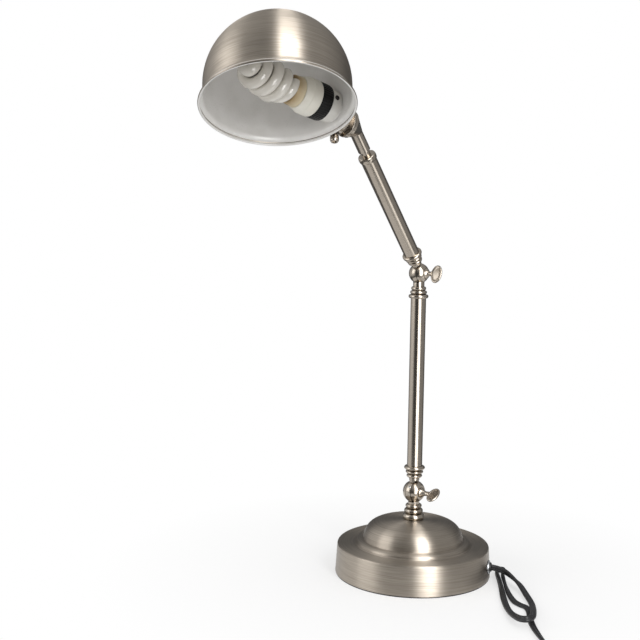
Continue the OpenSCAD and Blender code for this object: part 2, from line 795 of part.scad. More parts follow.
// sideways direction at each point: carried along without twist, or level where up is given
function carried(p, i, x) = let (t = tangent(p, i), y = unit(x - (x * t) * t))
    i == len(p) - 1 ? [y] : concat([y], carried(p, i + 1, y));
function level(p) = [for (i = [0:len(p) - 1]) unit(cross([0, 0, 1], tangent(p, i)))];
// least gap of a tube to itself, past the stretch where it bends back on itself
function self_gap(p, width, skip) = min([for (i = [0:len(p) - 1 - skip], k = [i + skip:len(p) - 1])
    norm(p[k] - p[i])]) - width;

module sweep(path, section) {
    skin(path, section, carried(path, 0, cross(tangent(path, 0), [1, 2, 3])));
}

module skin(path, section, sides) {
    n = len(section);
    m = len(path);
    points = [for (i = [0:m - 1]) let (x = sides[i], y = cross(tangent(path, i), x))
        for (q = section) path[i] + q[0] * x + q[1] * y];
    faces = concat(
        [[for (k = [0:n - 1]) k]],
        [for (i = [0:m - 2], k = [0:n - 1]) [i * n + k, i * n + n + k, i * n + (k + 1) % n]],
        [for (i = [0:m - 2], k = [0:n - 1])
            [i * n + n + k, i * n + n + (k + 1) % n, i * n + (k + 1) % n]],
        [[for (k = [n - 1:-1:0]) (m - 1) * n + k]]);
    polyhedron(points, faces, convexity = 8);
}

// ---- leads inside the lamp
lead_r = 2.4;
lead_in = 3.4;         // how far a lead reaches into a collar's bore

module base_lead() color(black) {
    low = nipple_low + 2;
    translate([0, 0, low]) cylinder(r = lead_r, h = base_pivot_z - base_ball_r - 4 - low);
}

module lower_lead() color(black) {
    low = base_pivot_z + foot_start + lead_in;
    translate([0, 0, low]) cylinder(r = lead_r, h = elbow_z - elbow_start - lead_in - low);
}

module upper_lead() color(black) {
    on_upper_arm(elbow_start + lead_in) cylinder(r = lead_r, h = neck_foot - 1 - elbow_start - lead_in);
}

// ---- cord: its free stretch, hand-laid as in the photograph, ends where the coil begins
cord_rest = cord_w / 2;
coil_x = 224;
coil_y = -167;
coil_entry = 47;
coil_z = cord_rest + 0.9;
coil_step = cord_t + 0.6;
coil_rise = cord_w + 0.8;
coil_all = 2 * coil_turns + 0.5;
rings_a_turn = 24;
function coil_point(t) = let (r = coil_r - coil_step * (coil_all / 2 - abs(t - coil_all / 2)),
    a = coil_entry - 360 * t, up = min(1, max(0, (t - coil_turns) / 0.5)))
    [coil_x + r * cos(a), coil_y + r * sin(a), coil_z + coil_rise * (3 - 2 * up) * up * up];
coil_exit = coil_entry - 360 * coil_all;
coil_n = round(coil_all * rings_a_turn);
coil_turned = [for (i = [0:coil_n]) coil_point(coil_all * i / coil_n)];
function ahead(turn) = [sin(turn), -cos(turn), 0];
coil_path = concat([coil_turned[0] - cord_w * ahead(coil_entry)], coil_turned,
    [coil_turned[coil_n] + cord_w * ahead(coil_exit)]);

cord_exit = base_r - base_draft * grommet_z / base_side_h + bushing_out;
cord_route = [
    [cord_exit * cos(grommet_turn), cord_exit * sin(grommet_turn), grommet_z],
[84.6, 34.1, 13.1], [93.4, 35.4, 11.2], [105.5, 30.2, 8.7],
    [118, 21.8, 6.6], [132.1, 8.6, 5], [146.3, -7.4, 4.6], [156.7, -23.4, 6], [167.4, -42.6, 8.6],
    [174.6, -58.2, 10.4], [174, -66.9, 10.6], [167.6, -67.2, 9.4], [158.7, -60, 7],
    [146.1, -46.9, 5], [133.3, -32.2, 3.8], [118.5, -12.5, 3.2], [102.8, 10.2, 3.2],
    [90.1, 28.2, 3.2], [79.9, 42.2, 3.2], [74.8, 49.6, 3.2], [72, 55.6, 3.2], [73, 60, 3.2],
    [76.6, 60.8, 3.2], [79, 57.2, 3.2], [81.2, 51.2, 3.2], [84.8, 45, 3.2], [89.9, 37.4, 3.2],
    [102.9, 19.2, 3.2], [117, 1.2, 3.2], [129.9, -11.9, 3.2], [139.6, -17.2, 3.2],
    [146.4, -19, 3.2], [152, -23.7, 3.2], [157.2, -30.7, 3.2], [162.6, -39.5, 3.2],
    [169.5, -50.3, 3.2], [178.8, -62.3, 3.2], [189.4, -74.4, 3.2], [200.3, -85.9, 3.2],
    [212, -97.4, 3.2], [224, -108.2, 3.4], [236, -119.4, 3.9]
];

// the smooth line through a list of points
function smooth(p, per) = concat([p[0]], [for (i = [0:len(p) - 2], k = [1:per])
    let (a = p[max(i - 1, 0)], b = p[i], c = p[i + 1], d = p[min(i + 2, len(p) - 1)], t = k / per)
        0.5 * (2 * b + t * (c - a) + t * t * (2 * a - 5 * b + 4 * c - d)
            + t * t * t * (3 * b - a - 3 * c + d))]);
function path_length(p, i = 1) = i >= len(p) ? 0 : norm(p[i] - p[i - 1]) + path_length(p, i + 1);
// flat cord on its edge: rounded top and bottom, flat sides
function flat_section(n) = n == 6 ?
    [[0.5, 0.27], [0, 0.5], [-0.5, 0.27], [-0.5, -0.27], [0, -0.5], [0.5, -0.27]] :
    [[0.5, 0.27], [0.26, 0.5], [-0.26, 0.5], [-0.5, 0.27], [-0.5, -0.27], [-0.26, -0.5],
        [0.26, -0.5], [0.5, -0.27]];
function cord_section(n) = [for (q = flat_section(n)) [q[0] * cord_t, q[1] * cord_w]];
cord_path = smooth(concat(cord_route, [coil_path[0]]), 2);

module cord_loops() color(black) {
    skin(cord_path, cord_section(8), level(cord_path));
}

module cord_coil() color(black) {
    skin(coil_path, cord_section(6), level(coil_path));
}

tail_l = 34;
plug_z = 9;
tail_path = let (a = coil_path[coil_n + 2], d = ahead(coil_exit), drop = [0, 0, plug_z - a[2]])
    [for (t = [0:0.125:1]) a + tail_l * t * d + (3 - 2 * t) * t * t * drop];

module cord_tail() color(black) {
    skin(tail_path, cord_section(8), level(tail_path));
}

// the plug's own frame: +X ahead along the cord, at the tail's end
module at_plug() {
    translate(tail_path[8]) rotate([0, 0, coil_exit - 90]) children();
}

plug_w = 24;
plug_h = 17.4;
plug_body_l = 26;
plug_boot_l = 14;
blade_gap = 12.7;

module plug_body() color(black) {
    at_plug() difference() {
        union() {
            rotate([0, 90, 0]) cylinder(r1 = 5, r2 = 7.4, h = plug_boot_l + 1);
            translate([plug_boot_l, 0, 0]) rotate([90, 0, 90]) linear_extrude(plug_body_l)
                offset(r = 4) square([plug_w - 8, plug_h - 8], center = true);
        }
        for (side = [-1, 1]) translate([plug_boot_l + plug_body_l - 4, side * blade_gap / 2 - 0.78, -3.18])
            cube([6, 1.56, 6.36]);
    }
}

module plug_blades() color(brass) {
    at_plug() for (side = [-1, 1])
        translate([plug_boot_l + plug_body_l - 3.9, side * blade_gap / 2 - 0.75, -3.15]) difference() {
            cube([3.9 + 16.5, 1.5, 6.3]);
            translate([3.9 + 13, -1, 3.15]) rotate([-90, 0, 0]) cylinder(r = 1.6, h = 4);
        }
}

tie_turn = 200;
tie_w = 8;
tie_t = 0.6;

module cord_tie() color([0.12, 0.12, 0.12]) {
    inner = coil_r - coil_step * (coil_all / 2) - cord_t / 2 - 0.3;
    outer = coil_r + cord_t / 2 + 0.3;
    high = coil_z + coil_rise + cord_rest + 0.3;
    translate([coil_x, coil_y, 0]) rotate([0, 0, tie_turn]) translate([0, tie_w / 2, 0])
        rotate([90, 0, 0]) linear_extrude(tie_w) difference() {
            translate([inner - tie_t, 0]) square([outer - inner + 2 * tie_t, high + tie_t]);
            translate([inner, tie_t]) square([outer - inner, high - tie_t]);
        }
}

echo(spiral_gap = self_gap(glass_path, glass_d, 8));
echo(coil_gap = self_gap([for (q = coil_path) [q[0], q[1], q[2] * cord_t / cord_w]], cord_t, 12));
echo(cord_length = path_length(cord_path) + path_length(coil_path) + path_length(tail_path));

// ---- what to draw
base_cover();
base_weight();
felt_pad();
base_nipple();
base_nut();
cord_grommet();
cord_bushing();
base_knuckle();
base_pivot_nut();
base_washers();
base_set_screw();
base_thumbscrew();
lower_arm_foot();
lower_tube();
elbow_knuckle();
elbow_pivot_nut();
elbow_washers();
elbow_thumbscrew();
upper_arm_foot();
upper_tube();
tube_end_ring();
swivel_neck();
neck_clip();
saddle_sleeve();
saddle_nipple();
socket_cup();
nipple_nut();
switch_body();
switch_shaft();
switch_knob();
shade();
shade_screws();
holder_sleeve();
lampholder();
screw_shell();
centre_contact();
holder_screw();
bulb_cap();
bulb_ballast();
bulb_collar();
bulb_spiral();
base_lead();
lower_lead();
upper_lead();
cord_loops();
cord_coil();
cord_tail();
cord_tie();
plug_body();
plug_blades();
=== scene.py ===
"""Dome shade desk lamp: satin nickel, white enamel, a spiral bulb and a flat twin cord.

Sizes are written in millimetres and turned to metres by MM. Places follow the lamp's own frames:
the upright axis, the upper arm's line and the head, whose +Z runs along the socket.
"""
import math

import bmesh
import bpy
from mathutils import Euler, Matrix, Vector


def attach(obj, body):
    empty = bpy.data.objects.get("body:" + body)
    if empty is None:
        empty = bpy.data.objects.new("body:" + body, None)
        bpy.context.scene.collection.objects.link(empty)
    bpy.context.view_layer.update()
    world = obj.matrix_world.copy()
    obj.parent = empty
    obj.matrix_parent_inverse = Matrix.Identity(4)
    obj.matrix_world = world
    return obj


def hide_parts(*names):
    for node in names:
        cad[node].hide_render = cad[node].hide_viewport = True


MM = 0.001
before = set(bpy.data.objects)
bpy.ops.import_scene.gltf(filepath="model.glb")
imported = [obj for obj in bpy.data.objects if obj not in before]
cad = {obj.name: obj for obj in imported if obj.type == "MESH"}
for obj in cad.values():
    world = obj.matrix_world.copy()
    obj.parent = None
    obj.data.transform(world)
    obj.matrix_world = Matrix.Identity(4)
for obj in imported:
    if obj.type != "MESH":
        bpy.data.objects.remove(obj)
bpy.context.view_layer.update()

# ---- sizes of the base, as the frame has them
BASE_R = 82.5
SIDE_H = 32
BASE_DRAFT = 1.8
EDGE_R = 2
COVER_WALL = 1.2
PAD_T = 1.2
CROWN_TOP = 58
CROWN_FLAT_R = 11.5
CROWN_FOOT_R = 53.5
CROWN_FOOT_Z = 37.4
STEP_RING_R = 62
NIPPLE_HOLE_R = 5.2

# ---- sizes of the knuckles and arms
BASE_PIVOT_Z = 88
ELBOW_Z = 320.5
ARM_LEAN = 40
ARM_BACK = 2.4
BASE_BALL_R = 11.8
ELBOW_BALL_R = 10.6
COLLAR_CLEAR = 0.9
COLLAR_H = 14.6
FOOT_SIZE = 1.06
TUBE_R = 8
TUBE_BORE = 7
TUBE_SEAT = 3
UPPER_TUBE_END = 149
FIT = 0.03

# ---- sizes of the thumb screws; each paddle has its reach from the knuckle and its turn
SCREW_R = 2.5
SCREW_SHOULDER = 9.1
SCREW_TIP = 0.9
FLANGE_R = 5.3
PADDLE_W = 19
PADDLE_L = 13
BASE_PADDLE = (8.8, 57)
ELBOW_PADDLE = (6, 19)

# ---- sizes of the head and shade
STEM_LENGTH = 200
HEAD_SWING = -22.9
HEAD_BEND = 36.6
HEAD_CLOCK = 37.2
PAD_Z = 17.37
PAD_R = 14.3
PAD_HOLE_R = 6
BOSS_T = 1.9
BOSS_EDGE = 0.4
SHADE_R = 67
SHADE_WALL = 0.9
RIM_R = 71
RIM_DEPTH = 19.6
LIP_R = 1.1
SHADE_REACH = 83.2
SHADE_DROP = 2.8

# ---- sizes of the lampholder
HOLDER_R = 17
HOLDER_Z = 31
HOLDER_L = 12
FLUTES = 44
SLEEVE_R = 15.3
SLEEVE_SCREW_Z = 26
SLEEVE_SCREW_TURN = -1

# ---- sizes of the bulb
BALLAST_FOOT = 43.03
BALLAST_R = 17.4
BALLAST_L = 17.5
COLLAR_L = 9.3
GLASS_R = 5.1
GLASS_LIFT = 5.4
GLASS_PITCH = 22.2
SPIRAL_TURNS = 1.75
GLASS_TURN = 284
GLASS_UNDER = 85
GLASS_STEP = 17
TIP_RISE = 4.4
TIP_TURN = 60

# ---- sizes of the cord
CORD_W = 6.4
CORD_T = 3.6
CORD_GROOVE = 0.25
COIL_TURNS = 2.44
COIL_BRIDGE = 0.5
COIL_R = 40.5
COIL_X = 224
COIL_Y = -167
COIL_ENTRY = 47
COIL_LIFT = 0.9
COIL_GAP = 0.6
LAYER_GAP = 0.8
TAIL_L = 34
PLUG_Z = 9


# ---- places
def turn(x=0, y=0, z=0):
    return Euler([math.radians(a) for a in (x, y, z)]).to_matrix().to_4x4()


def shift(x=0, y=0, z=0):
    return Matrix.Translation(Vector((x, y, z)) * MM)


UPRIGHT = Matrix.Identity(4)
AT_BASE_PIVOT = shift(z=BASE_PIVOT_Z)
AT_ELBOW = shift(z=ELBOW_Z)
UPPER_ARM = AT_ELBOW @ turn(x=ARM_LEAN) @ shift(y=ARM_BACK)
HEAD = UPPER_ARM @ shift(z=STEM_LENGTH) @ turn(z=HEAD_SWING) @ turn(x=HEAD_BEND) @ turn(z=HEAD_CLOCK)
SHADE = HEAD @ shift(y=-SHADE_DROP, z=SHADE_REACH) @ turn(x=-90)
COLLAR_PLACE = HEAD @ shift(z=BALLAST_FOOT + BALLAST_L + FIT)

# ---- camera
CAMERA_AT = Vector((641.80, -956.88, 387.93))
CAMERA_RIGHT = Vector((0.77654, 0.62991, 0.01412))
CAMERA_UP = Vector((-0.07537, 0.07061, 0.99465))
CAMERA_BACK = Vector((0.62554, -0.77346, 0.10231))
CAMERA_SIDE = math.atan2(CAMERA_BACK.y, CAMERA_BACK.x)  # round the upright axis, from +X
LENS = 61.875


def set_camera():
    camera = bpy.data.objects.new("camera", bpy.data.cameras.new("camera"))
    camera.data.lens = LENS
    camera.data.sensor_width = 36
    camera.data.clip_start = 0.05
    camera.data.clip_end = 60
    axes = Matrix((CAMERA_RIGHT, CAMERA_UP, CAMERA_BACK)).transposed().to_4x4()
    camera.matrix_world = Matrix.Translation(CAMERA_AT * MM) @ axes
    bpy.context.scene.collection.objects.link(camera)
    bpy.context.scene.camera = camera


# ---- materials
def hex_colour(code):
    """An sRGB hex colour as the linear colour that a shader wants."""
    parts = [int(code[i:i + 2], 16) / 255 for i in (1, 3, 5)]
    return [p / 12.92 if p <= 0.04045 else ((p + 0.055) / 1.055) ** 2.4 for p in parts] + [1]


def node(tree, kind, values=None, stops=None, **settings):
    """Adds a node.

    Settings are its properties. Values go to its sockets, by name or number, as numbers or links.
    """
    made = tree.nodes.new("ShaderNode" + kind)
    for name, value in settings.items():
        setattr(made, name, value)
    for name, value in (values or {}).items():
        if isinstance(value, bpy.types.NodeSocket):
            tree.links.new(value, made.inputs[name])
        else:
            made.inputs[name].default_value = value
    for i, (place, colour) in enumerate(stops or []):
        element = made.color_ramp.elements[i] if i < 2 else made.color_ramp.elements.new(place)
        element.position = place
        element.color = colour
    return made


def new_material(name, **sockets):
    """A material with one principled shader; sockets are its plain numbers and colours."""
    material = bpy.data.materials.new(name)
    material.use_nodes = True
    shader = material.node_tree.nodes["Principled BSDF"]
    for socket, value in sockets.items():
        shader.inputs[socket.replace("_", " ")].default_value = value
    return material, material.node_tree, shader


def axis_coordinates(tree, axis):
    """Radius from a turned piece's axis, height along it and the direction round it."""
    at = node(tree, "TexCoord").outputs["Object"]
    point = axis.to_translation()
    direction = axis.to_3x3() @ Vector((0, 0, 1))
    arm = node(tree, "VectorMath", {0: at, 1: point}, operation="SUBTRACT").outputs[0]
    round_it = node(tree, "VectorMath", {0: direction, 1: arm}, operation="CROSS_PRODUCT").outputs[0]
    radius = node(tree, "VectorMath", {0: round_it}, operation="LENGTH").outputs["Value"]
    height = node(tree, "VectorMath", {0: direction, 1: arm}, operation="DOT_PRODUCT").outputs["Value"]
    return at, radius, height, round_it


NICKEL_DARK = "#9A9186"
NICKEL_MEAN = "#A9A095"
NICKEL_LIGHT = "#B6ADA1"
SCRATCH_DEPTH = 0.02  # millimetres, of the brushed rings
HANDLED = 25  # millimetres across the duller clouds that handling leaves on plate


def satin_nickel(name, axis, roughness=0.3, stretch=0.8, line=0.9, grain=1.0):
    """Nickel plate brushed in a lathe: a warm grey with its highlights drawn out along the axis.

    Fine rings round the axis are a line's width apart, in millimetres. The real scratches are finer
    and would not show. Grain is how far the rings show, and stretch how far a highlight is drawn out.
    """
    material, tree, shader = new_material(
        name, Base_Color=hex_colour(NICKEL_MEAN), Metallic=1, Roughness=roughness, Anisotropic=stretch,
        Anisotropic_Rotation=0.25)
    at, radius, height, round_it = axis_coordinates(tree, axis)
    tangent = node(tree, "VectorTransform", {"Vector": round_it}, vector_type="VECTOR",
                   convert_from="OBJECT", convert_to="WORLD").outputs[0]
    tree.links.new(tangent, shader.inputs["Tangent"])
    rings = node(tree, "CombineXYZ", {"X": radius, "Y": height, "Z": 0.0}).outputs[0]
    # a little of the place itself, so that a ring changes on its way round
    wander = node(tree, "VectorMath", {0: at, 1: (0.03, 0.03, 0.03)}, operation="MULTIPLY").outputs[0]
    ring_place = node(tree, "VectorMath", {0: rings, 1: wander}, operation="ADD").outputs[0]
    scratch = node(tree, "TexNoise", {"Vector": ring_place, "Scale": 1 / (line * MM), "Detail": 2.0,
                                      "Roughness": 0.6}).outputs["Fac"]
    cloud = node(tree, "TexNoise", {"Vector": at, "Scale": 1 / (HANDLED * MM), "Detail": 2.0}).outputs["Fac"]
    both = node(tree, "Math", {0: scratch, 1: cloud}, operation="ADD").outputs[0]
    rough = node(tree, "MapRange", {"Value": both, "From Min": 0.6, "From Max": 1.4,
                                    "To Min": roughness - 0.05 * grain,
                                    "To Max": roughness + 0.06 * grain}).outputs[0]
    tree.links.new(rough, shader.inputs["Roughness"])
    tone = node(tree, "ValToRGB", {"Fac": scratch},
                stops=[(0.5 - 0.2 / grain, hex_colour(NICKEL_DARK)),
                       (0.5 + 0.2 / grain, hex_colour(NICKEL_LIGHT))]).outputs["Color"]
    tree.links.new(tone, shader.inputs["Base Color"])
    bump = node(tree, "Bump", {"Height": scratch, "Strength": 0.1 * grain * grain,
                               "Distance": SCRATCH_DEPTH * MM}).outputs[0]
    tree.links.new(bump, shader.inputs["Normal"])
    return material


DRIFT = 18  # millimetres across a drift of a plain finish's colour


def plain_finish(name, low, high, roughness, grain, bump_depth, metallic=0.0, spread=0.06, **sockets):
    """A moulded, enamelled or plated surface: its colour drifts a little and its skin has a fine grain.

    Grain and bump_depth are the skin's width and height in millimetres.
    """
    material, tree, shader = new_material(
        name, Base_Color=hex_colour(low), Metallic=metallic, Roughness=roughness, **sockets)
    at = node(tree, "TexCoord").outputs["Object"]
    drift = node(tree, "TexNoise", {"Vector": at, "Scale": 1 / (DRIFT * MM), "Detail": 3.0}).outputs["Fac"]
    tone = node(tree, "ValToRGB", {"Fac": drift},
                stops=[(0.35, hex_colour(low)), (0.65, hex_colour(high))]).outputs["Color"]
    tree.links.new(tone, shader.inputs["Base Color"])
    skin = node(tree, "TexNoise", {"Vector": at, "Scale": 1 / (grain * MM), "Detail": 4.0}).outputs["Fac"]
    rough = node(tree, "MapRange", {"Value": skin, "From Min": 0.3, "From Max": 0.7,
                                    "To Min": roughness - spread, "To Max": roughness + spread}).outputs[0]
    tree.links.new(rough, shader.inputs["Roughness"])
    bump = node(tree, "Bump", {"Height": skin, "Strength": 0.3, "Distance": bump_depth * MM}).outputs[0]
    tree.links.new(bump, shader.inputs["Normal"])
    return material


SCORCH = 6  # millimetres across a cloud of the collar's browning
SCORCH_WANDER = 4  # millimetres by which those clouds move its edge
SCORCH_FADE = 3  # millimetres past the collar's top, where it would be brown all over


def aged_collar():
    """Heat-aged plastic round the glass feet: cream at the ballast, browner toward the glass."""
    material, tree, shader = new_material(
        "heat_aged_plastic", Base_Color=hex_colour("#B9A37C"), Roughness=0.42, IOR=1.5)
    height = axis_coordinates(tree, COLLAR_PLACE)[2]
    at = node(tree, "TexCoord").outputs["Object"]
    cloud = node(tree, "TexNoise", {"Vector": at, "Scale": 1 / (SCORCH * MM), "Detail": 4.0}).outputs["Fac"]
    lean = node(tree, "Math", {0: cloud, 1: SCORCH_WANDER * MM, 2: height},
                operation="MULTIPLY_ADD").outputs[0]
    share = node(tree, "MapRange", {"Value": lean, "From Min": 0.0,
                                    "From Max": (COLLAR_L + SCORCH_FADE) * MM}).outputs[0]
    tone = node(tree, "ValToRGB", {"Fac": share},
                stops=[(0.0, hex_colour("#D9CDB0")), (1.0, hex_colour("#9C8258"))]).outputs["Color"]
    tree.links.new(tone, shader.inputs["Base Color"])
    bump = node(tree, "Bump", {"Height": cloud, "Strength": 0.2, "Distance": 0.05 * MM}).outputs[0]
    tree.links.new(bump, shader.inputs["Normal"])
    return material


# drawn tubes and turned collars, brushed and buffed: clear bands of light and dark along them
BUFFED = {"roughness": 0.2, "stretch": 0.3, "line": 0.4, "grain": 0.3}
NICKEL_UPRIGHT = satin_nickel("satin_nickel_upright", UPRIGHT, **BUFFED)
NICKEL_ARM = satin_nickel("satin_nickel_upper_arm", UPPER_ARM, **BUFFED)
# the socket cup and the knob: the same bands, a little softer
NICKEL_HEAD = satin_nickel("satin_nickel_head", HEAD, roughness=0.24, stretch=0.5, grain=0.35)
# screws turned about their own axis, which lies across the lamp: softer bands than on the tubes
TURNED = {"roughness": 0.26, "stretch": 0.3, "grain": 0.4}
NICKEL_SCREW_LOW = satin_nickel("satin_nickel_base_screw", AT_BASE_PIVOT @ turn(y=90), **TURNED)
NICKEL_SCREW_HIGH = satin_nickel("satin_nickel_elbow_screw", AT_ELBOW @ turn(y=90), **TURNED)
# spun sheet brushed in wide rings: a fan of light from the middle to the edge
SPUN = {"roughness": 0.38, "stretch": 0.95}
NICKEL_COVER = satin_nickel("satin_nickel_cover", UPRIGHT, **SPUN)
NICKEL_SHADE = satin_nickel("satin_nickel_shade", SHADE, **SPUN)
# sprayed and baked: an even white with a soft gloss from its clear skin
ENAMEL = plain_finish("white_stoved_enamel", "#DEDCD8", "#E6E4E1", 0.32, 1.5, 0.02, IOR=1.52,
                      Coat_Weight=0.3, Coat_Roughness=0.15)
# a powder coat seen through clear glass: a warm off-white with small sharp highlights
GLASS = plain_finish("phosphor_coated_glass", "#D2CDC3", "#DDD9D0", 0.16, 4, 0.01, IOR=1.52,
                     Coat_Weight=0.8, Coat_Roughness=0.05)
# moulded and some years old: a cream white with a dull shine
BALLAST = plain_finish("white_pbt_moulding", "#DAD6CA", "#E3E0D5", 0.4, 0.6, 0.02, IOR=1.5)
COLLAR = aged_collar()
# pressed in a mould: a deep black, its shine held low, with thin lines of light on its edges
PHENOLIC = plain_finish("black_phenolic_moulding", "#070707", "#0D0D0D", 0.3, 0.5, 0.03,
                        Specular_IOR_Level=0.2)
# the same plastic in white: greyer and duller than the shade's enamel
WHITE_PHENOLIC = plain_finish("white_phenolic_sleeve", "#D2CFC8", "#DAD8D2", 0.4, 0.8, 0.02, IOR=1.52)
# extruded: a soft black with a broad dull sheen
PVC = plain_finish("black_pvc_jacket", "#151517", "#1F1F22", 0.5, 0.4, 0.03, IOR=1.52)
# moulded: a plain matt black
NYLON = plain_finish("black_nylon_bushing", "#101011", "#181819", 0.5, 0.4, 0.02, IOR=1.53)
# moulded without a dye: a milky white
WHITE_NYLON = plain_finish("natural_nylon_spindle", "#CFCCC4", "#D8D5CE", 0.45, 0.4, 0.02, IOR=1.53)
# plated in a barrel: a cool light grey, even all over
ZINC = plain_finish("zinc_plated_steel", "#A9ABAD", "#BCBEC0", 0.35, 0.5, 0.02, metallic=1.0)
# dipped and oiled: nearly black with a dull metal shine
DARK_STEEL = plain_finish("blackened_steel", "#2C2B2A", "#3A3836", 0.42, 0.5, 0.02, metallic=1.0)
# left as it comes off the lathe: a plain yellow metal
BRASS = plain_finish("turned_brass", "#B9964F", "#CBAA63", 0.33, 0.5, 0.02, metallic=1.0)
# spun from bright sheet: a light grey, the shiniest of the small metals
CAP_TIN = plain_finish("spun_tinplate_cap", "#B6B6B8", "#C6C6C8", 0.3, 0.5, 0.02, metallic=1.0)
# sand cast and dipped in paint: dark, rough and lumpy
CAST_IRON = plain_finish("painted_cast_iron", "#26262A", "#313135", 0.7, 1.2, 0.3)
# pressed wool: a dull black with a pale bloom at its edge
FELT = plain_finish("black_wool_felt", "#141415", "#26262A", 0.95, 0.5, 0.4, Sheen_Weight=0.4)
# punched from board: a flat red-brown
FIBRE = plain_finish("vulcanised_fibre", "#4A2A1A", "#5C3622", 0.6, 0.4, 0.05)

# the frame's own pieces, by their finish
CAD_FINISH = {
    NICKEL_UPRIGHT: ["base_cover", "base_knuckle", "lower_arm_foot", "lower_tube", "elbow_knuckle"],
    NICKEL_ARM: ["upper_arm_foot", "upper_tube", "tube_end_ring", "swivel_neck", "saddle_sleeve"],
    NICKEL_HEAD: ["socket_cup", "switch_knob", "shade"],
    NICKEL_SCREW_LOW: ["base_thumbscrew"],
    NICKEL_SCREW_HIGH: ["elbow_thumbscrew"],
    ZINC: ["base_nut", "cord_grommet", "base_set_screw", "neck_clip", "nipple_nut"],
    BRASS: ["base_nipple", "base_pivot_nut", "elbow_pivot_nut", "saddle_nipple", "screw_shell",
            "centre_contact", "plug_blades"],
    DARK_STEEL: ["shade_screws", "holder_screw"],
    FIBRE: ["base_washers", "elbow_washers"],
    CAST_IRON: ["base_weight"],
    FELT: ["felt_pad"],
    NYLON: ["cord_bushing", "switch_body", "cord_tie"],
    WHITE_NYLON: ["switch_shaft"],
    PHENOLIC: ["lampholder"],
    WHITE_PHENOLIC: ["holder_sleeve"],
    CAP_TIN: ["bulb_cap"],
    BALLAST: ["bulb_ballast"],
    COLLAR: ["bulb_collar"],
    GLASS: ["bulb_spiral"],
    PVC: ["base_lead", "lower_lead", "upper_lead", "cord_loops", "cord_coil", "cord_tail", "plug_body"],
}


def dress(piece, material):
    if piece.material_slots:
        for each in piece.material_slots:
            each.material = material
    else:
        piece.data.materials.append(material)


for finish, names in CAD_FINISH.items():
    for name in names:
        dress(cad[name], finish)


# ---- curves, as the frame draws them
def bow(a, b, c, d, n):
    """A smooth curve from a to d, drawn by the handles b and c."""
    points = []
    for i in range(n + 1):
        t = i / n
        s = 1 - t
        points.append(tuple(s ** 3 * p + 3 * s * s * t * q + 3 * s * t * t * r + t ** 3 * e
                            for p, q, r, e in zip(a, b, c, d)))
    return points


def arc(middle, radius, start, end, n):
    angles = [math.radians(start + (end - start) * i / n) for i in range(n + 1)]
    return [(middle[0] + radius * math.cos(a), middle[1] + radius * math.sin(a)) for a in angles]


def circle(sides):
    """Cosine and sine at each step round a circle."""
    angles = [2 * math.pi * k / sides for k in range(sides)]
    return [(math.cos(a), math.sin(a)) for a in angles]


def heading(path, i):
    """Direction of a path at its point i."""
    return (path[min(i + 1, len(path) - 1)] - path[max(i - 1, 0)]).normalized()


def ease(t):
    """From 0 to 1 with a level start and end."""
    return (3 - 2 * t) * t * t


# ---- meshes
def finish_mesh(name, shape, place, body, replaced, materials, crease=32):
    """Puts a shape in its place on its body, smooth but for edges sharper than crease degrees."""
    mesh = bpy.data.meshes.new(name)
    bmesh.ops.recalc_face_normals(shape, faces=shape.faces)
    shape.to_mesh(mesh)
    shape.free()
    for each in materials:
        mesh.materials.append(each)
    mesh.polygons.foreach_set("use_smooth", [True] * len(mesh.polygons))
    mesh.set_sharp_from_angle(angle=math.radians(crease))
    mesh.transform(place)
    piece = bpy.data.objects.new(name, mesh)
    bpy.context.scene.collection.objects.link(piece)
    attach(piece, body)
    if replaced:
        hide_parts(*replaced)
    return piece


def bridge(shape, rings):
    """Four-sided faces from each ring to the next."""
    for one, two in zip(rings, rings[1:]):
        for k in range(len(one)):
            after = (k + 1) % len(one)
            shape.faces.new((one[k], one[after], two[after], two[k]))


def lathe(name, profile, place, body, replaced, materials, sides=144, split=None, crease=32):
    """Turns a profile of (radius, height) round the piece's axis.

    A profile that starts and ends on the axis stays as it is, and any other is closed on itself. The
    steps of the profile from the first to the second number of split get the second material.
    """
    shape = bmesh.new()
    rings = []
    for radius, height in profile:
        if radius == 0:
            rings.append([shape.verts.new((0, 0, height * MM))])
        else:
            rings.append([shape.verts.new((radius * c * MM, radius * s * MM, height * MM))
                          for c, s in circle(sides)])
    closed = len(rings[0]) > 1 and len(rings[-1]) > 1
    pairs = zip(rings, rings[1:] + ([rings[0]] if closed else []))
    for i, (one, two) in enumerate(pairs):
        for k in range(sides):
            after = (k + 1) % sides
            corners = [one[k % len(one)], one[after % len(one)], two[after % len(two)], two[k % len(two)]]
            face = shape.faces.new(list(dict.fromkeys(corners)))
            if split and split[0] <= i < split[1]:
                face.material_index = 1
    return finish_mesh(name, shape, place, body, replaced, materials, crease)


def swept(name, path, section, sideways, body, replaced, material):
    """Carries a section along a path; sideways gives each ring's first direction."""
    shape = bmesh.new()
    rings = []
    for i, (at, across) in enumerate(zip(path, sideways)):
        up = heading(path, i).cross(across)
        rings.append([shape.verts.new((at + across * q[0] + up * q[1]) * MM) for q in section])
    bridge(shape, rings)
    shape.faces.new(rings[0])
    shape.faces.new(list(reversed(rings[-1])))
    return finish_mesh(name, shape, UPRIGHT, body, replaced, [material], crease=50)


def carried(path):
    """Sideways directions that follow the path without twist; where the first one points is free."""
    directions = []
    across = Vector((1, 2, 3))
    for i in range(len(path)):
        ahead = heading(path, i)
        across = (across - across.dot(ahead) * ahead).normalized()
        directions.append(across)
    return directions


